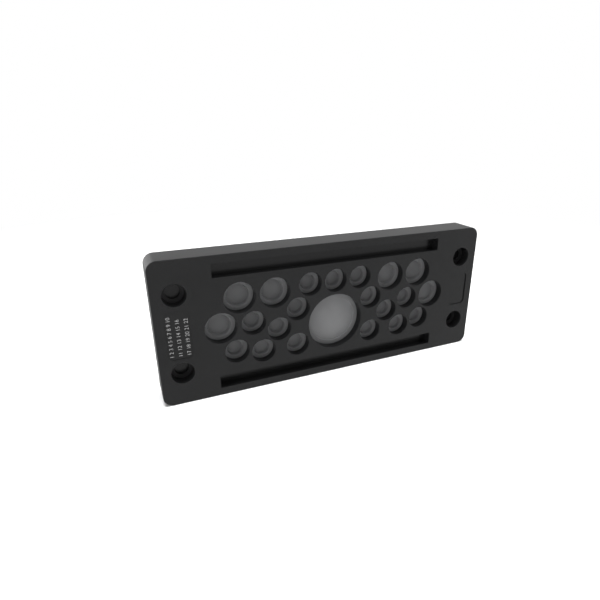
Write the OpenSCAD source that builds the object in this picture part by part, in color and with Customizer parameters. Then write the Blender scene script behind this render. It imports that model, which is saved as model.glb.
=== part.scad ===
// Cable entry plate for a cabinet wall: a hard frame with a soft sealing mat moulded onto its back.
// The plate stands upright. X runs along it, Z is up, and the front faces -Y.
// The origin is the middle of the screw pattern, on the cabinet wall behind the plate.
// Depths are measured from the front face towards the wall.

/* [Plate] */
// Length of the plate
plate_w = 147; // [145:1:160]
// Height of the plate
plate_h = 59; // [57:1:70]
// Depth from the front face to the cabinet wall
plate_t = 13; // [12.5:0.5:18]
// Radius of the four corners, seen from the front
corner_r = 4; // [2:0.5:6]
// Bevel along the outer edges
edge_bevel = 0.4; // [0.2:0.1:0.8]
// Thickness of the front wall
front_wall = 6; // [5.8:0.1:7]
// Thickness of the skirt round the back
skirt_wall = 3; // [2:0.25:3.5]

/* [Screw holes] */
// Spacing of the screws along the plate
screw_pitch_x = 130; // [127:1:132]
// Spacing of the screws up the plate
screw_pitch_z = 32; // [30:1:34]
// Diameter of the screw holes
screw_hole_d = 5.3; // [4.5:0.1:5.8]
// Diameter of the counterbore for the screw head
counterbore_d = 8.75; // [8:0.25:10]
// Depth of the counterbore
counterbore_depth = 4.7; // [4:0.1:4.9]
// Diameter of the boss behind each screw hole
boss_d = 11; // [10:0.5:12]
// Thickness of the mat between a boss and the cabinet wall
boss_cover = 1.2; // [0.8:0.1:2]
// Diameter of the web that closes each screw hole until it is knocked out
web_d = 5.8; // [5.6:0.1:6.4]
// Thickness of the web at its edge
web_t = 0.6; // [0.4:0.1:0.8]
// Rise of the web at its middle
web_rise = 0.3; // [0.1:0.05:0.4]

/* [Cable holes] */
// Diameter of the one large hole
large_hole_d = 24.7; // [23:0.1:25.5]
// Diameter of the medium holes
medium_hole_d = 12.7; // [11.5:0.1:13.2]
// Diameter of the small holes
small_hole_d = 10; // [9:0.1:10.6]
// Bevel at the mouth of every round hole
mouth_bevel = 0.25; // [0.1:0.05:0.4]

/* [Membranes] */
// Depth of the soft rim in each cable hole
rim_depth = 3.6; // [3:0.1:4]
// Width of the flat land round the rim
rim_land = 0.45; // [0.15:0.05:0.6]
// Diameter of the thin disc in the large hole
large_disc_d = 20.6; // [19:0.1:21.5]
// Diameter of the thin disc in a medium hole
medium_disc_d = 9.2; // [8:0.1:10]
// Diameter of the thin disc in a small hole
small_disc_d = 6.5; // [5.5:0.1:7.5]
// Fall of the funnel from the rim to the disc, large hole
large_drop = 0.8; // [0.6:0.1:1.5]
// Fall of the funnel from the rim to the disc, medium hole
medium_drop = 1.1; // [0.8:0.1:2]
// Fall of the funnel from the rim to the disc, small hole
small_drop = 1.1; // [0.8:0.1:2]
// Rise of the disc at its middle, large hole
large_rise = 0.25; // [0.1:0.05:0.4]
// Rise of the disc at its middle, medium hole
medium_rise = 0.45; // [0.2:0.05:0.6]
// Rise of the disc at its middle, small hole
small_rise = 0.45; // [0.2:0.05:0.6]
// Thickness of the discs
membrane_t = 1; // [0.6:0.1:1.2]
// Step from the wall of a hole in to the mouth of the pocket behind it
pocket_step = 0.8; // [0.6:0.1:1]
// Wall of the soft lining behind each screw hole
lining_wall = 1; // [0.8:0.1:1.2]
// Flare of the lining round the back of the web
lining_flare = 0.4; // [0.3:0.1:0.6]
// Gap between the hard and the soft moulding along their walls
bond_gap = 0.02; // [0.01:0.01:0.05]

/* [Sealing rib] */
// Length of the cut-out in the cabinet wall
cutout_w = 112; // [110:1:113]
// Height of the cut-out in the cabinet wall
cutout_h = 36; // [35:1:38]
// Distance from the cut-out to the rib
rib_margin = 1.5; // [1:0.25:2]
// Width of the rib
rib_w = 3; // [2:0.25:3.5]
// Height of the rib above the back of the frame
rib_h = 0.8; // [0.5:0.1:1.2]
// Corner radius inside the rib
rib_r = 3; // [2:0.5:6]

/* [Label slots] */
// Length of the two slots for label strips
slot_w = 102; // [90:1:110]
// Height of a slot
slot_h = 5.4; // [4.5:0.1:6]
// Depth of a slot
slot_depth = 4.1; // [3:0.1:4.5]
// Distance from a slot to the long edge of the plate
slot_margin = 3.35; // [3:0.05:4]

/* [Label windows] */
// Width of the shallow window at the left
left_window_w = 9.2; // [8:0.1:10]
// Height of the window at the left
left_window_h = 19.8; // [16:0.1:20]
// Depth of the window at the left
left_window_depth = 0.3; // [0.2:0.1:0.6]
// Width of the shallow window at the right
right_window_w = 9.6; // [8:0.1:10]
// Height of the window at the right
right_window_h = 15.6; // [14:0.1:18]
// Depth of the window at the right
right_window_depth = 0.5; // [0.2:0.1:0.8]
// Corner radius of the windows
window_r = 2; // [1:0.5:3]

/* [Hidden] */
$fn = 64;

// Places of the holes on the right half, as [x, z], and on the middle line
large_places = [[0, -5.5]];
medium_pairs = [[26.7, 11.5], [41.1, 11.5], [49.1, 0]];
small_middle = [[0, 13]];
small_pairs = [[11.5, 13], [17, 3], [36, 0], [25.4, -4.5], [17.4, -13], [32.4, -13], [43.4, -11]];
function both_halves(places) = [for (p = places, side = [-1, 1]) [side * p[0], p[1]]];
medium_places = both_halves(medium_pairs);
small_places = concat(small_middle, both_halves(small_pairs));
screw_places = both_halves([[screw_pitch_x / 2, screw_pitch_z / 2], [screw_pitch_x / 2, -screw_pitch_z / 2]]);

// How far a cutter runs past the face that it cuts
overrun = 1;
// Steps along the curve of a dome, from its middle to its edge
disc_steps = 4;
screw_r = screw_hole_d / 2;
lining_r = screw_r + lining_wall;
cavity_r = max(corner_r - skirt_wall, edge_bevel);
slot_z = plate_h / 2 - slot_margin - slot_h / 2;
boss_end = plate_t - boss_cover;

// Curve of a dome from its middle out to radius r, flat on top, with its edge at the given depth
function disc_curve(r, depth, rise) =
    [for (i = [0:disc_steps]) [r * i / disc_steps, depth - rise * (1 - pow(i / disc_steps, 3))]];

// Stands the plate up: children are drawn with the wall at z = 0 and the front face at plate_t
module upright() {
    rotate([90, 0, 0])
        children();
}

// Puts children at each place, with z running from the front face towards the wall
module at_depth(places) {
    for (p = places)
        translate([p[0], p[1], plate_t])
            rotate([180, 0, 0])
                children();
}

// A block with round corners, from z = 0 up
module round_block(w, h, t, r) {
    translate([r - w / 2, -h / 2, 0])
        cube([w - 2 * r, h, t]);
    translate([-w / 2, r - h / 2, 0])
        cube([w, h - 2 * r, t]);
    for (x = [-1, 1], y = [-1, 1])
        translate([x * (w / 2 - r), y * (h / 2 - r), 0])
            cylinder(r = r, h = t);
}

function bevelled_side(half, t, b) =
    [[half - b, 0], [half, b], [half, t - b], [half - b, t]];
function bevelled_section(half, t, b) =
    let (right = bevelled_side(half, t, b))
    concat(right, [for (i = [3:-1:0]) [-right[i][0], right[i][1]]]);

// The same block with its edges bevelled at both ends
module bevelled_block(w, h, t, r, b) {
    rotate([90, 0, 0])
        linear_extrude(height = h - 2 * r, center = true)
            polygon(bevelled_section(w / 2, t, b));
    rotate([90, 0, 90])
        linear_extrude(height = w - 2 * r, center = true)
            polygon(bevelled_section(h / 2, t, b));
    for (x = [-1, 1], y = [-1, 1])
        translate([x * (w / 2 - r), y * (h / 2 - r), 0])
            rotate_extrude()
                polygon(concat([[0, 0]], bevelled_side(r, t, b), [[0, t]]));
}

// A hole from the front face down, with its mouth bevelled
module front_bore(d, depth) {
    rotate_extrude()
        polygon([
            [0, -overrun],
            [d / 2 + mouth_bevel, -overrun],
            [d / 2 + mouth_bevel, 0],
            [d / 2, mouth_bevel],
            [d / 2, depth],
            [0, depth]
        ]);
}

// Recess from the floor of the counterbore down to the domed web
module web_recess() {
    rotate_extrude()
        polygon(concat(
            disc_curve(web_d / 2, front_wall - web_t, web_rise),
            [[web_d / 2, counterbore_depth - overrun], [0, counterbore_depth - overrun]]
        ));
}

// Boss behind a screw hole, joined to the short side of the skirt
module boss(p, grow) {
    reach = plate_w / 2 - skirt_wall / 2 - abs(p[0]);
    width = boss_d + 2 * grow;
    depth = boss_end - front_wall / 2 + grow;
    translate([p[0], p[1], plate_t - boss_end - grow]) {
        cylinder(d = width, h = depth);
        translate([p[0] > 0 ? 0 : -reach, -width / 2, 0])
            cube([reach, width, depth]);
    }
}

// Everything cut into the frame from the front
module front_cuts() {
    at_depth(large_places)
        front_bore(large_hole_d, front_wall + overrun);
    at_depth(medium_places)
        front_bore(medium_hole_d, front_wall + overrun);
    at_depth(small_places)
        front_bore(small_hole_d, front_wall + overrun);
    at_depth(screw_places) {
        front_bore(counterbore_d, counterbore_depth);
        web_recess();
        translate([0, 0, front_wall])
            cylinder(r = lining_r, h = plate_t);
    }
    for (side = [-1, 1])
        translate([-slot_w / 2, side * slot_z - slot_h / 2, plate_t - slot_depth])
            cube([slot_w, slot_h, slot_depth + overrun]);
    translate([-screw_pitch_x / 2, 0, plate_t - left_window_depth])
        round_block(left_window_w, left_window_h, left_window_depth + overrun, window_r);
    translate([screw_pitch_x / 2, 0, plate_t - right_window_depth])
        round_block(right_window_w, right_window_h, right_window_depth + overrun, window_r);
}

module frame() {
    color("#2b2c2e")
        upright()
            difference() {
                union() {
                    difference() {
                        bevelled_block(plate_w, plate_h, plate_t, corner_r, edge_bevel);
                        translate([0, 0, -overrun])
                            round_block(
                                plate_w - 2 * skirt_wall,
                                plate_h - 2 * skirt_wall,
                                plate_t - front_wall + overrun,
                                cavity_r
                            );
                    }
                    for (p = screw_places)
                        boss(p, 0);
                }
                front_cuts();
            }
}

// Hollow in front of a membrane: a short cone down to the disc
module funnel(hole_d, disc_d, drop, rise) {
    mouth_r = hole_d / 2 - bond_gap - rim_land;
    rotate_extrude()
        polygon(concat(
            disc_curve(disc_d / 2, rim_depth + drop, rise),
            [[mouth_r, rim_depth], [mouth_r, rim_depth - overrun], [0, rim_depth - overrun]]
        ));
}

// Pocket behind a membrane, opening towards the wall
module pocket(hole_d, disc_d, drop, rise) {
    mouth_r = hole_d / 2 - pocket_step;
    rotate_extrude()
        polygon(concat(
            disc_curve(disc_d / 2, rim_depth + drop + membrane_t, rise),
            [[mouth_r, plate_t], [mouth_r, plate_t + overrun], [0, plate_t + overrun]]
        ));
}

// Soft collar that fills a cable hole from the rim to the back of the front wall
module collar(hole_d) {
    translate([0, 0, rim_depth])
        cylinder(d = hole_d - 2 * bond_gap, h = front_wall - rim_depth + overrun);
}

// Soft lining of a screw hole behind its web
module screw_lining() {
    translate([0, 0, front_wall])
        cylinder(r = lining_r - bond_gap, h = plate_t - front_wall);
}

// Way through that lining for the screw, flared where the web breaks out
module screw_way() {
    rotate_extrude()
        polygon([
            [0, front_wall - overrun],
            [screw_r + lining_flare, front_wall - overrun],
            [screw_r + lining_flare, front_wall],
            [screw_r, front_wall + lining_flare],
            [screw_r, plate_t + overrun],
            [0, plate_t + overrun]
        ]);
}

// Raised rib round the cut-out, on the back of the mat
module sealing_rib() {
    inner_w = cutout_w + 2 * rib_margin;
    inner_h = cutout_h + 2 * rib_margin;
    difference() {
        translate([0, 0, -rib_h])
            round_block(inner_w + 2 * rib_w, inner_h + 2 * rib_w, rib_h + overrun, rib_r + rib_w);
        translate([0, 0, -rib_h - overrun])
            round_block(inner_w, inner_h, rib_h + overrun, rib_r);
    }
}

module sealing_mat() {
    color("#7d7f82")
        upright()
            difference() {
                union() {
                    difference() {
                        round_block(
                            plate_w - 2 * (skirt_wall + bond_gap),
                            plate_h - 2 * (skirt_wall + bond_gap),
                            plate_t - front_wall,
                            cavity_r - bond_gap
                        );
                        for (p = screw_places)
                            boss(p, bond_gap);
                    }
                    sealing_rib();
                    at_depth(large_places)
                        collar(large_hole_d);
                    at_depth(medium_places)
                        collar(medium_hole_d);
                    at_depth(small_places)
                        collar(small_hole_d);
                    at_depth(screw_places)
                        screw_lining();
                }
                at_depth(large_places) {
                    funnel(large_hole_d, large_disc_d, large_drop, large_rise);
                    pocket(large_hole_d, large_disc_d, large_drop, large_rise);
                }
                at_depth(medium_places) {
                    funnel(medium_hole_d, medium_disc_d, medium_drop, medium_rise);
                    pocket(medium_hole_d, medium_disc_d, medium_drop, medium_rise);
                }
                at_depth(small_places) {
                    funnel(small_hole_d, small_disc_d, small_drop, small_rise);
                    pocket(small_hole_d, small_disc_d, small_drop, small_rise);
                }
                at_depth(screw_places)
                    screw_way();
            }
}

frame();
sealing_mat();
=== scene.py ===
import math

import bpy
from mathutils import Matrix, Vector


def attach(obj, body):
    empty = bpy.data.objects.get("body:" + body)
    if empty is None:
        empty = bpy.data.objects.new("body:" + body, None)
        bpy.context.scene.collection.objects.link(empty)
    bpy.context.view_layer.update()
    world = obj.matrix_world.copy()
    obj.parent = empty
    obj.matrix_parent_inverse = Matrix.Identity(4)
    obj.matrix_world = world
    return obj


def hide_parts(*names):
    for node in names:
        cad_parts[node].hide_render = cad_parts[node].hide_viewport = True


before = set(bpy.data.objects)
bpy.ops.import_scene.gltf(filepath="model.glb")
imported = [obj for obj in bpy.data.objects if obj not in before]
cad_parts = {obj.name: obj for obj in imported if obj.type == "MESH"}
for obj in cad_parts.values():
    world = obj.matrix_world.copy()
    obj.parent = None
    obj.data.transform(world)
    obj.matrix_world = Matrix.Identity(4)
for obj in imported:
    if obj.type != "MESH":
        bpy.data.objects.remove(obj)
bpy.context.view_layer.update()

# Moulded frame
# The hard half of the plate, one injection moulding in black glass-filled polyamide: a front wall with
# counterbored screw holes, label slots and label windows, and a skirt that stands on the cabinet wall.
MM = 0.001
PLATE_W = 147.0
PLATE_H = 59.0
PLATE_T = 13.0
CORNER_R = 4.0
FRONT_WALL = 6.0
SKIRT_WALL = 3.0
CAVITY_CORNER = 1.0
EDGE_ROUND = 0.4
MOUTH_ROUND = 0.25
ROUND_STEPS = 4


def both_halves(pairs):
    """Places on the right half of the plate, each with its mirror image on the left half."""
    return [(side * x, z) for x, z in pairs for side in (-1, 1)]


SCREW_X = 65.0
SCREW_Z = 16.0
SCREW_PLACES = both_halves([(SCREW_X, SCREW_Z), (SCREW_X, -SCREW_Z)])
SCREW_R = 2.65
LINING_R = 3.65
COUNTERBORE_R = 4.375
COUNTERBORE_DEPTH = 4.7
LARGE_PLACES = [(0.0, -5.5)]
LARGE_R = 12.35
MEDIUM_PLACES = both_halves([(26.7, 11.5), (41.1, 11.5), (49.1, 0.0)])
MEDIUM_R = 6.35
SMALL_PLACES = [(0.0, 13.0)] + both_halves(
    [(11.5, 13.0), (17.0, 3.0), (36.0, 0.0), (25.4, -4.5), (17.4, -13.0), (32.4, -13.0), (43.4, -11.0)]
)
SMALL_R = 5.0

# Cutters stand this far past the faces that they cut, and points nearer than the weld become one.
CLEAR = 1.0
WELD = 0.0005


def spot(x, depth, z):
    """A point of the plate from its depth below the front face, in metres."""
    return Vector((x, depth - PLATE_T, z)) * MM


def pick_edges(piece, wanted):
    """Selects the edges of a piece by the places of their two ends and leaves it in edit mode."""
    bpy.ops.object.mode_set(mode="EDIT")
    bpy.ops.mesh.select_mode(type="EDGE")
    bpy.ops.mesh.select_all(action="DESELECT")
    bpy.ops.object.mode_set(mode="OBJECT")
    for edge in piece.data.edges:
        a, b = (piece.data.vertices[i].co / MM for i in edge.vertices)
        edge.select = wanted(a, b)
    bpy.ops.object.mode_set(mode="EDIT")


def pick_faces(piece, wanted):
    """Selects the faces of a piece by their normal and leaves it in edit mode."""
    bpy.ops.object.mode_set(mode="EDIT")
    bpy.ops.mesh.select_mode(type="FACE")
    bpy.ops.mesh.select_all(action="DESELECT")
    bpy.ops.object.mode_set(mode="OBJECT")
    for face in piece.data.polygons:
        face.select = wanted(face.normal)
    bpy.ops.object.mode_set(mode="EDIT")


def at_depth(depth):
    """Test for edges that lie at one depth."""
    y = depth - PLATE_T
    return lambda a, b: abs(a.y - y) < 0.001 and abs(b.y - y) < 0.001


def along_depth(a, b):
    """Test for edges that run from front to back."""
    return abs(a.y - b.y) > 0.01


def round_slab(name, width, height, corner, near, far, place=(0.0, 0.0), steps=10):
    """A flat block with round corners, between two depths."""
    bpy.ops.object.select_all(action="DESELECT")
    bpy.ops.mesh.primitive_cube_add(size=1.0, location=spot(place[0], (near + far) / 2, place[1]))
    slab = bpy.context.object
    slab.name = name
    slab.scale = (width * MM, (far - near) * MM, height * MM)
    bpy.ops.object.transform_apply(location=True, rotation=True, scale=True)
    pick_edges(slab, along_depth)
    bpy.ops.mesh.bevel(offset=corner * MM, segments=steps, affect="EDGES")
    bpy.ops.object.mode_set(mode="OBJECT")
    return slab


def turned(name, profile, steps):
    """A solid turned about the axis of a hole, from its profile of radius and depth."""
    bpy.ops.object.select_all(action="DESELECT")
    bpy.ops.mesh.primitive_plane_add(size=MM)
    piece = bpy.context.object
    piece.name = name
    bpy.ops.object.mode_set(mode="EDIT")
    bpy.ops.mesh.select_mode(type="VERT")
    bpy.ops.mesh.select_all(action="SELECT")
    bpy.ops.mesh.merge(type="CENTER")
    here = spot(profile[0][0], profile[0][1], 0)
    bpy.ops.transform.translate(value=here)
    for radius, depth in profile[1:]:
        there = spot(radius, depth, 0)
        bpy.ops.mesh.extrude_vertices_move(TRANSFORM_OT_translate={"value": there - here})
        here = there
    bpy.ops.mesh.select_all(action="SELECT")
    bpy.ops.mesh.spin(steps=steps, angle=2 * math.pi, center=(0, 0, 0), axis=(0, 1, 0))
    bpy.ops.mesh.select_all(action="SELECT")
    bpy.ops.mesh.remove_doubles(threshold=WELD * MM)
    bpy.ops.mesh.normals_make_consistent(inside=False)
    bpy.ops.object.mode_set(mode="OBJECT")
    return piece


def joined(name, pieces):
    """One mesh out of several."""
    bpy.ops.object.select_all(action="DESELECT")
    for piece in pieces:
        piece.select_set(True)
    bpy.context.view_layer.objects.active = pieces[0]
    bpy.ops.object.join()
    pieces[0].name = name
    return pieces[0]


def set_out(piece, places):
    """Copies of a piece at each of the places, each with its own mesh; the first one goes."""
    copies = []
    for x, z in places:
        bpy.ops.object.select_all(action="DESELECT")
        piece.select_set(True)
        bpy.context.view_layer.objects.active = piece
        bpy.ops.object.duplicate(linked=False)
        bpy.ops.transform.translate(value=(x * MM, 0, z * MM))
        bpy.ops.object.transform_apply(location=True, rotation=False, scale=False)
        copies.append(bpy.context.object)
    bpy.data.objects.remove(piece)
    return copies


def combine(piece, tool, operation):
    """Adds a tool body to a piece or cuts it out, and takes the tool away."""
    bpy.ops.object.select_all(action="DESELECT")
    piece.select_set(True)
    bpy.context.view_layer.objects.active = piece
    step = piece.modifiers.new(operation.title(), "BOOLEAN")
    step.operation = operation
    step.solver = "EXACT"
    step.object = tool
    bpy.ops.object.modifier_apply(modifier=step.name)
    bpy.data.objects.remove(tool)


def flared(name, width, height, corner, depth, ease, place):
    """A cutter for a flat-bottomed recess whose mouth is eased outwards by a small radius."""
    cutter = round_slab(name, width, height, corner, ease, depth, place, ROUND_STEPS)
    pick_faces(cutter, lambda normal: normal.y < -0.9)
    size = [width, height]
    now = ease
    for i in range(1, ROUND_STEPS + 2):
        turn = math.pi / 2 * min(i / ROUND_STEPS, 1.0)
        out = 2 * ease * (1 - math.cos(turn))
        then = ease * (1 - math.sin(turn)) if i <= ROUND_STEPS else -CLEAR
        bpy.ops.mesh.extrude_region_move(TRANSFORM_OT_translate={"value": (0, (then - now) * MM, 0)})
        grow = ((width + out) / size[0], 1, (height + out) / size[1])
        bpy.ops.transform.resize(value=grow, center_override=spot(place[0], then, place[1]))
        size = [width + out, height + out]
        now = then
    bpy.ops.object.mode_set(mode="OBJECT")
    return cutter


def eased(corners):
    """A profile whose corners, given as radius, depth and ease, are rounded over that length."""
    points = []
    for i, (radius, depth, ease) in enumerate(corners):
        corner = Vector((radius, depth))
        if not ease:
            points.append(corner)
            continue
        back = (Vector(corners[i - 1][:2]) - corner).normalized() * ease
        on = (Vector(corners[i + 1][:2]) - corner).normalized() * ease
        for k in range(ROUND_STEPS + 1):
            t = k / ROUND_STEPS
            points.append(corner + back * (1 - t) ** 2 + on * t**2)
    return [tuple(p) for p in points]


def disc(radius, depth, rise, steps=8):
    """A dome from its middle to short of its edge, flat on top and steeper towards its edge."""
    return [(radius * i / steps, depth - rise * (1 - (i / steps) ** 3), 0) for i in range(steps)]


def bore(radius):
    """Profile of a hole from in front of the plate down to the end of its eased mouth."""
    turns = [math.pi / 2 * i / ROUND_STEPS for i in range(ROUND_STEPS + 1)]
    arc = [(radius + MOUTH_ROUND * (1 - math.sin(t)), MOUTH_ROUND * (1 - math.cos(t))) for t in turns]
    return [(0, -CLEAR), (radius + MOUTH_ROUND, -CLEAR)] + arc


plate = round_slab("moulded_frame", PLATE_W, PLATE_H, CORNER_R, 0, PLATE_T, steps=12)
for depth in (0, PLATE_T):
    pick_edges(plate, at_depth(depth))
    bpy.ops.mesh.bevel(offset=EDGE_ROUND * MM, segments=ROUND_STEPS, affect="EDGES")
    bpy.ops.object.mode_set(mode="OBJECT")

# The bosses round the screw holes stay standing in the cavity and join the short sides of the skirt.
BOSS_D = 11.0
BOSS_END = 11.8
BOSS_REACH = 19.5
BOSS_FLAT = 0.001
BOSS_X = SCREW_X - BOSS_D / 2 + BOSS_REACH / 2


def bosses(grow):
    """The four bosses, grown all round by the gap that the mat keeps from them."""
    width = BOSS_REACH + 2 * grow
    height = BOSS_D + 2 * grow
    corner = BOSS_D / 2 + grow - BOSS_FLAT
    size = (width, height, corner, FRONT_WALL / 2, BOSS_END + grow)
    places = [(math.copysign(BOSS_X, x), z) for x, z in SCREW_PLACES]
    return joined("bosses", [round_slab("boss", *size, place, steps=16) for place in places])


cavity_w = PLATE_W - 2 * SKIRT_WALL
cavity_h = PLATE_H - 2 * SKIRT_WALL
cavity = round_slab("cavity", cavity_w, cavity_h, CAVITY_CORNER, FRONT_WALL, PLATE_T + CLEAR)
combine(cavity, bosses(0), "DIFFERENCE")
combine(plate, cavity, "DIFFERENCE")

# Radius, places and facets of the cable holes, which go right through the front wall.
CABLE_HOLES = [(LARGE_R, LARGE_PLACES, 96), (MEDIUM_R, MEDIUM_PLACES, 64), (SMALL_R, SMALL_PLACES, 64)]
through = FRONT_WALL + CLEAR
cutters = []
for radius, places, facets in CABLE_HOLES:
    cutters += set_out(turned("bore", bore(radius) + [(radius, through), (0, through)], facets), places)

# Each screw hole is closed by a thin domed web, which the screw knocks out.
WEB_R = 2.9
WEB_T = 0.8
WEB_RISE = 0.1
SHELF_EASE = 0.2
WEB_EASE = 0.15
SCREW_FACETS = 64
LINING_FACETS = 48
web_edge = FRONT_WALL - WEB_T
web = [(WEB_R, web_edge)] + [point[:2] for point in reversed(disc(WEB_R, web_edge, WEB_RISE, steps=5))]
counterbore = bore(COUNTERBORE_R)
shelf = eased(
    [
        (*counterbore[-1], 0),
        (COUNTERBORE_R, COUNTERBORE_DEPTH, SHELF_EASE),
        (WEB_R, COUNTERBORE_DEPTH, WEB_EASE),
        (WEB_R, web_edge, 0),
    ]
)
cutters += set_out(turned("screw_hole", counterbore + shelf[1:-1] + web, SCREW_FACETS), SCREW_PLACES)
past_back = PLATE_T + CLEAR
lining_hole = [(0, FRONT_WALL), (LINING_R, FRONT_WALL), (LINING_R, past_back), (0, past_back)]
cutters += set_out(turned("lining_hole", lining_hole, LINING_FACETS), SCREW_PLACES)

# The label slots run along the long edges, and the label windows lie between the screw holes.
SLOT_W = 102.0
SLOT_H = 5.4
SLOT_DEPTH = 4.1
SLOT_FROM_EDGE = 3.35
SLOT_CORNER = 0.2
SLOT_EASE = 0.2
SLOT_Z = PLATE_H / 2 - SLOT_FROM_EDGE - SLOT_H / 2
for z in (-SLOT_Z, SLOT_Z):
    cutters.append(flared("label_slot", SLOT_W, SLOT_H, SLOT_CORNER, SLOT_DEPTH, SLOT_EASE, (0, z)))
LEFT_WINDOW = (9.2, 19.8, 0.3)
RIGHT_WINDOW = (9.6, 15.6, 0.5)
WINDOW_CORNER = 2.0
WINDOW_EASE = 0.12
for (width, height, deep), x in ((LEFT_WINDOW, -SCREW_X), (RIGHT_WINDOW, SCREW_X)):
    cutters.append(flared("label_window", width, height, WINDOW_CORNER, deep, WINDOW_EASE, (x, 0)))
combine(plate, joined("front_cuts", cutters), "DIFFERENCE")

SMOOTH_ANGLE = 40.0


def shade(piece):
    """Smooth shading with the flat faces kept flat up to their rounded edges."""
    bpy.ops.object.select_all(action="DESELECT")
    piece.select_set(True)
    bpy.context.view_layer.objects.active = piece
    bpy.ops.object.shade_smooth_by_angle(angle=math.radians(SMOOTH_ANGLE))
    flat = piece.modifiers.new("Flat", "WEIGHTED_NORMAL")
    flat.keep_sharp = True
    flat.weight = 100
    bpy.ops.object.modifier_apply(modifier=flat.name)


shade(plate)


class Wire:
    """A socket of a node tree: arithmetic on it adds Math nodes, and node() adds any other node."""

    def __init__(self, tree, socket=None):
        self.tree = tree
        self.socket = socket

    def node(self, kind, settings=None, sockets=None, output=0):
        """A new node with its settings, its sockets' values or links, and the output that goes on."""
        made = self.tree.nodes.new(kind)
        for name, value in (settings or {}).items():
            setattr(made, name, value)
        for name, value in (sockets or {}).items():
            if isinstance(value, Wire):
                self.tree.links.new(value.socket, made.inputs[name])
            else:
                made.inputs[name].default_value = value
        return Wire(self.tree, made.outputs[output] if made.outputs else None)

    def math(self, operation, left, right):
        return self.node("ShaderNodeMath", {"operation": operation}, {0: left, 1: right})

    def __add__(self, other):
        return self.math("ADD", self, other)

    def __mul__(self, other):
        return self.math("MULTIPLY", self, other)

    __radd__ = __add__
    __rmul__ = __mul__

    def blend(self, first, second):
        """Two colours mixed by this value."""
        return self.node("ShaderNodeMix", {"data_type": "RGBA"}, {0: self, 6: first, 7: second}, 2)

    def noise(self, scale, detail, rough=0.5):
        """Noise over a coordinate, about 0.5."""
        sockets = {"Vector": self, "Scale": scale, "Detail": detail, "Roughness": rough}
        return self.node("ShaderNodeTexNoise", {}, sockets)

    def ramp(self, start, end):
        """A length's way from start, where it gives 0, to end, where it gives 1, both in millimetres."""
        return self.node("ShaderNodeMapRange", {}, {"Value": self, 1: start * MM, 2: end * MM})

    def off_axis(self, x, z):
        """Distance of a coordinate from the axis of a hole."""
        flat = self.node("ShaderNodeVectorMath", {"operation": "MULTIPLY"}, {0: self, 1: (1, 0, 1)})
        axis = (x * MM, 0, z * MM)
        return self.node("ShaderNodeVectorMath", {"operation": "DISTANCE"}, {0: flat, 1: axis}, "Value")


def new_finish(name):
    """An empty material and the object coordinates that its pattern reads."""
    material = bpy.data.materials.new(name)
    material.use_nodes = True
    material.node_tree.nodes.clear()
    return material, Wire(material.node_tree).node("ShaderNodeTexCoord", output="Object")


# Black polyamide: a finely eroded skin, with faint clouds where the glass fibres lie at the surface. The
# outer sides of the plate and the shelves of the counterbores are duller than the front.
WEB_FADE = 0.1
polyamide, at = new_finish("black_polyamide")
reach = at.node("ShaderNodeVectorMath", {"operation": "ABSOLUTE"}, {0: at})
sides = []
for axis, half in (("X", PLATE_W / 2), ("Z", PLATE_H / 2)):
    along = at.node("ShaderNodeSeparateXYZ", {}, {"Vector": reach}, axis)
    sides.append(along.ramp(half - EDGE_ROUND, half))
from_screw = reach.off_axis(SCREW_X, SCREW_Z)
past_web = from_screw.ramp(WEB_R - WEB_FADE, WEB_R)
in_bore = from_screw.ramp(COUNTERBORE_R + MOUTH_ROUND, COUNTERBORE_R)
dull = at.math("MAXIMUM", at.math("MAXIMUM", *sides), past_web * in_bore)
clouds = at.noise(70.0, 3.0)
grain = at.noise(5200.0, 2.0)
bump = at.node("ShaderNodeBump", {}, {"Strength": 0.22, "Distance": 0.03 * MM, "Height": grain})
skin = at.node(
    "ShaderNodeBsdfPrincipled",
    {},
    {
        "Base Color": clouds.blend((0.0037, 0.0038, 0.004, 1), (0.006, 0.0061, 0.0063, 1)),
        "Roughness": 0.2 + 0.2 * dull + 0.06 * clouds + 0.04 * grain,
        "IOR": 1.5,
        "Specular IOR Level": 0.28,
        "Normal": bump,
    },
)
at.node("ShaderNodeOutputMaterial", {}, {"Surface": skin})
plate.data.materials.append(polyamide)
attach(plate, "root")
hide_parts("frame")

# Sealing mat
# The soft half, one shot of grey elastomer moulded onto the back of the frame. It fills the cavity, rises
# in each cable hole as a collar with a thin membrane, lines the screw holes and seals on a rib at the back.
GAP = 0.02
RIM_DEPTH = 3.6
RIM_LAND = 0.45
RIM_EASE = 0.3
RIM_EDGE = 0.04
RING_FALL = 0.1
STEP_W = 0.4
STEP_FOOT = 0.05
STEP_HEAD = 0.1
COLLAR_ROOT = 1.0
MEMBRANE_T = 1.0
POCKET_STEP = 0.8
POCKET_EASE = 0.35
EXIT_ROUND = 0.3
EXIT_MIDDLE = 0.09


def collar(hole_r, disc_r, drop, rise):
    """Front of a cable hole: domed membrane, step up to the nearly level ring, collar down into the mat."""
    outer = hole_r - GAP
    foot = FRONT_WALL + COLLAR_ROOT
    return eased(
        disc(disc_r, RIM_DEPTH + drop, rise)
        + [
            (disc_r, RIM_DEPTH + drop, STEP_FOOT),
            (disc_r + STEP_W * drop, RIM_DEPTH + RING_FALL, STEP_HEAD),
            (outer - RIM_LAND, RIM_DEPTH, RIM_EASE),
            (outer, RIM_DEPTH, RIM_EDGE),
            (outer, foot, 0),
            (0, foot, 0),
        ]
    )


def way_out(radius):
    """End of a hollow's profile, with its edge rounded off at the back of the mat."""
    return [
        (radius, PLATE_T - EXIT_ROUND),
        (radius + EXIT_MIDDLE, PLATE_T - EXIT_MIDDLE),
        (radius + EXIT_ROUND, PLATE_T),
        (radius + EXIT_ROUND, PLATE_T + CLEAR),
        (0, PLATE_T + CLEAR),
    ]


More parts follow.
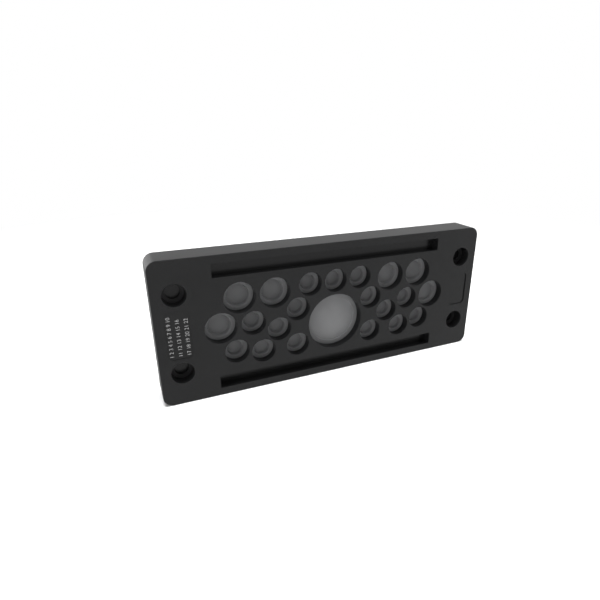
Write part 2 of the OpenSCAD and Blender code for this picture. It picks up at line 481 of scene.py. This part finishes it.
def pocket(hole_r, disc_r, drop, rise):
    """Back of a cable hole: the hollow that tapers down to the back of the membrane."""
    floor_depth = RIM_DEPTH + drop + MEMBRANE_T
    return eased(
        disc(disc_r, floor_depth, rise)
        + [(disc_r, floor_depth, POCKET_EASE)]
        + [(radius, depth, 0) for radius, depth in way_out(hole_r - POCKET_STEP)]
    )


mat = round_slab(
    "elastomer_mat", cavity_w - 2 * GAP, cavity_h - 2 * GAP, CAVITY_CORNER - GAP, FRONT_WALL, PLATE_T
)
combine(mat, bosses(GAP), "DIFFERENCE")

# The rib runs round the cut-out in the wall, a little outside it, with a rounded crest.
RIB_W = 3.0
RIB_H = 0.8
RIB_ROOT = 0.5
RIB_CORNER = 6.0
RIB_CREST = 0.6
RIB_OUTSIDE = 1.5
CUTOUT_W = 112.0
CUTOUT_H = 36.0
rib_w = CUTOUT_W + 2 * (RIB_OUTSIDE + RIB_W)
rib_h = CUTOUT_H + 2 * (RIB_OUTSIDE + RIB_W)
rib = round_slab("rib", rib_w, rib_h, RIB_CORNER, PLATE_T - RIB_ROOT, PLATE_T + RIB_H, steps=12)
pick_faces(rib, lambda normal: abs(normal.y) > 0.9)
bpy.ops.mesh.inset(thickness=RIB_W * MM, use_even_offset=True)
bpy.ops.mesh.delete(type="FACE")
bpy.ops.mesh.select_mode(type="EDGE")
bpy.ops.mesh.select_non_manifold()
bpy.ops.mesh.bridge_edge_loops()
bpy.ops.mesh.select_all(action="SELECT")
bpy.ops.mesh.normals_make_consistent(inside=False)
bpy.ops.mesh.select_all(action="DESELECT")
bpy.ops.mesh.edges_select_sharp(sharpness=math.radians(60))
bpy.ops.object.mode_set(mode="OBJECT")
crest = at_depth(PLATE_T + RIB_H)
for edge in rib.data.edges:
    a, b = (rib.data.vertices[i].co / MM for i in edge.vertices)
    edge.select = edge.select and crest(a, b)
bpy.ops.object.mode_set(mode="EDIT")
bpy.ops.mesh.bevel(offset=RIB_CREST * MM, segments=5, affect="EDGES")
bpy.ops.object.mode_set(mode="OBJECT")

# Radius of each size of membrane, its drop below the rim, and the rise of its middle.
LARGE_DISC = (10.4, 0.4, 0.3)
MEDIUM_DISC = (4.25, 1.3, 0.4)
SMALL_DISC = (2.95, 1.3, 0.35)
bodies = [rib]
hollows = []
for (hole_r, places, facets), membrane in zip(CABLE_HOLES, (LARGE_DISC, MEDIUM_DISC, SMALL_DISC)):
    bodies += set_out(turned("collar", collar(hole_r, *membrane), facets), places)
    hollows += set_out(turned("pocket", pocket(hole_r, *membrane), facets), places)

# The linings of the screw holes end just short of the webs, where their ways flare.
LINING_FLARE = 0.4
LINING_SHORT = 0.01
LINING_IN_MAT = 0.2
lining_r = LINING_R - GAP
lining_top = FRONT_WALL + LINING_SHORT
lining_end = PLATE_T - LINING_IN_MAT
lining = [(0, lining_top), (lining_r, lining_top), (lining_r, lining_end), (0, lining_end)]
bodies += set_out(turned("screw_lining", lining, LINING_FACETS), SCREW_PLACES)
way_in = [
    (0, FRONT_WALL - CLEAR),
    (SCREW_R + LINING_FLARE, FRONT_WALL - CLEAR),
    (SCREW_R + LINING_FLARE, FRONT_WALL),
    (SCREW_R, FRONT_WALL + LINING_FLARE),
]
hollows += set_out(turned("screw_way", way_in + way_out(SCREW_R), LINING_FACETS), SCREW_PLACES)
combine(mat, joined("soft_bodies", bodies), "UNION")
combine(mat, joined("soft_hollows", hollows), "DIFFERENCE")
shade(mat)

# Grey elastomer: a dull, slightly cloudy rubber with a very fine matt grain. The widest membrane is painted
# paler than the rest: painted light, standing in for the brighter light that reaches it in its wide hole.
# Painted light: radii from the widest hole's axis over which the paler painted tone fades in, in
# millimetres.
PAINTED_LIGHT_FROM = 10.6
PAINTED_LIGHT_TO = 10.0
elastomer, at = new_finish("grey_elastomer")
clouds = at.noise(140.0, 4.0, 0.6)
# Painted light: mask of the widest membrane, which gets a paler copy of the elastomer colour.
painted_light_mask = at.off_axis(*LARGE_PLACES[0]).ramp(PAINTED_LIGHT_FROM, PAINTED_LIGHT_TO)
elastomer_tone = clouds.blend((0.08, 0.081, 0.083, 1), (0.11, 0.111, 0.113, 1))
painted_light_tone = clouds.blend((0.108, 0.109, 0.111, 1), (0.142, 0.143, 0.145, 1))
grain = at.noise(7000.0, 2.0)
bump = at.node("ShaderNodeBump", {}, {"Strength": 0.18, "Distance": 0.03 * MM, "Height": grain})
skin = at.node(
    "ShaderNodeBsdfPrincipled",
    {},
    {
        "Base Color": painted_light_mask.blend(elastomer_tone, painted_light_tone),
        "Roughness": 0.58 + 0.12 * clouds + 0.06 * grain,
        "IOR": 1.48,
        "Normal": bump,
    },
)
at.node("ShaderNodeOutputMaterial", {}, {"Surface": skin})
mat.data.materials.append(elastomer)
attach(mat, "root")
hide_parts("sealing_mat")

# Index numbers
# Plain numbers of the twenty-two cable entries, pad-printed in pale ink on the floor of the left window.
# They run upwards in three columns.
INK_LIFT = 0.03
INK_SINK = 0.005
NUMBER_SIZE = 2.1
STROKE_TRIM = 0.02
LINE_GAP = 3.2
LINE_START = -9.0
LINES = ["1 2 3 4 5 6 7 8 9 10", "11 12 13 14 15 16", "17 18 19 20 21 22"]
ink_depth = LEFT_WINDOW[2] - INK_LIFT / 2 + INK_SINK
upwards = Matrix(((0, -1, 0), (0, 0, -1), (1, 0, 0))).to_4x4()
printed = []
for row, figures in enumerate(LINES):
    bpy.ops.object.select_all(action="DESELECT")
    bpy.ops.object.text_add()
    line = bpy.context.object
    line.data.body = figures
    line.data.align_x = "LEFT"
    line.data.align_y = "CENTER"
    line.data.size = NUMBER_SIZE * MM
    line.data.offset = -STROKE_TRIM * MM
    line.data.resolution_u = 3
    line.data.extrude = INK_LIFT / 2 * MM
    bpy.ops.object.convert(target="MESH")
    line = bpy.context.object
    start = spot(-SCREW_X + LINE_GAP * (row - 1), ink_depth, LINE_START)
    line.matrix_world = Matrix.Translation(start) @ upwards
    bpy.ops.object.transform_apply(location=True, rotation=True, scale=True)
    bpy.ops.object.mode_set(mode="EDIT")
    bpy.ops.mesh.select_all(action="SELECT")
    bpy.ops.mesh.remove_doubles(threshold=WELD * MM)
    bpy.ops.mesh.normals_make_consistent(inside=False)
    bpy.ops.object.mode_set(mode="OBJECT")
    printed.append(line)
numbers = joined("index_numbers", printed)

ink, at = new_finish("pale_ink")
worn = at.noise(1800.0, 2.0)
skin = at.node(
    "ShaderNodeBsdfPrincipled",
    {},
    {
        "Base Color": worn.blend((0.2, 0.2, 0.2, 1), (0.32, 0.32, 0.32, 1)),
        "Roughness": 0.5 + 0.15 * worn,
    },
)
at.node("ShaderNodeOutputMaterial", {}, {"Surface": skin})
numbers.data.materials.clear()
numbers.data.materials.append(ink)
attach(numbers, "root")

# Studio
# A plain pale floor under the lower edge of the plate, white walls all round, and four wide soft lamps: two
# above, of which one is further forward, and one low at each end of the plate. Away from the plate the
# floor turns plain white. Lamps and camera are placed in metres.
FLOOR_SIZE = 6000.0
WHITE_FROM = 160.0
WHITE_TO = 420.0
WHITE = (1, 1, 1, 1)
bpy.ops.object.select_all(action="DESELECT")
bpy.ops.mesh.primitive_plane_add(size=FLOOR_SIZE * MM, location=(0, 0, -PLATE_H / 2 * MM))
floor = bpy.context.object
floor.name = "floor"
bpy.ops.object.transform_apply(location=True, rotation=True, scale=True)
paper, at = new_finish("pale_paper")
far = at.node("ShaderNodeVectorMath", {"operation": "LENGTH"}, {0: at}, "Value").ramp(WHITE_FROM, WHITE_TO)
fibre = at.noise(900.0, 2.0)
sheet = at.node(
    "ShaderNodeBsdfPrincipled",
    {},
    {"Base Color": fibre.blend((0.9, 0.9, 0.9, 1), (0.92, 0.92, 0.92, 1)), "Roughness": 0.9},
)
white = at.node("ShaderNodeEmission", {}, {"Color": WHITE, "Strength": 1.0})
mirrored = at.node("ShaderNodeLightPath", output="Is Glossy Ray")
near = at.node("ShaderNodeMixShader", {}, {0: mirrored, 1: sheet, 2: white})
mixed = at.node("ShaderNodeMixShader", {}, {0: far, 1: near, 2: white})
at.node("ShaderNodeOutputMaterial", {}, {"Surface": mixed})
floor.data.materials.append(paper)

# The walls look white to the camera and in the plate's reflections, and light it only a little.
WALL_LIGHT = 0.15
world = bpy.data.worlds.new("studio")
bpy.context.scene.world = world
world.use_nodes = True
world.node_tree.nodes.clear()
sky = Wire(world.node_tree)
camera_ray = sky.node("ShaderNodeLightPath", output="Is Camera Ray")
glossy_ray = sky.node("ShaderNodeLightPath", output="Is Glossy Ray")
clear_ray = sky.node("ShaderNodeLightPath", output="Is Transmission Ray")
seen = sky.math("MINIMUM", camera_ray + glossy_ray + clear_ray, 1.0)
soft = sky.node("ShaderNodeBackground", {}, {"Color": WHITE, "Strength": WALL_LIGHT})
plain = sky.node("ShaderNodeBackground", {}, {"Color": WHITE, "Strength": 1.0})
walls = sky.node("ShaderNodeMixShader", {}, {0: seen, 1: soft, 2: plain})
sky.node("ShaderNodeOutputWorld", {}, {"Surface": walls})

LAMP_SIZE = 0.6
LAMPS = {
    "lamp_above": ((0.0, -0.02, 1.0), 15.5),
    "lamp_front": ((0.0, -0.36, 0.93), 7.5),
    "lamp_left": ((-0.94, -0.34, 0.05), 10.5),
    "lamp_right": ((0.94, -0.34, 0.05), 3.5),
}
for name, (place, energy) in LAMPS.items():
    lamp_data = bpy.data.lights.new(name, "AREA")
    lamp_data.shape = "DISK"
    lamp_data.size = LAMP_SIZE
    lamp_data.energy = energy
    lamp = bpy.data.objects.new(name, lamp_data)
    bpy.context.scene.collection.objects.link(lamp)
    lamp.visible_glossy = False
    lamp.location = place
    lamp.rotation_euler = (-lamp.location).to_track_quat("-Z", "Y").to_euler()

# Camera
# It stands in front of the left end of the plate, higher than its top, and looks along it to the right and
# down. The middle of its picture lies a little to the left of its axis.
CAMERA_PLACE = (-0.08037, -0.17802, 0.07567)
camera_data = bpy.data.cameras.new("camera")
camera_data.sensor_width = 36.0
camera_data.lens = 27.80
camera_data.shift_x = -0.0455
camera_data.shift_y = 0.0048
camera_data.clip_start = 0.01
camera_data.clip_end = 50.0
camera = bpy.data.objects.new("camera", camera_data)
bpy.context.scene.collection.objects.link(camera)
ahead = Vector((0.3905, 0.8437, -0.3683)).normalized()
across = Vector((0.9088, -0.4171, 0.0080)).normalized()
above = across.cross(ahead).normalized()
aim = Matrix((across, above, -ahead)).transposed().to_4x4()
camera.matrix_world = Matrix.Translation(CAMERA_PLACE) @ aim
bpy.context.scene.camera = camera
bpy.context.scene.view_settings.view_transform = "Standard"
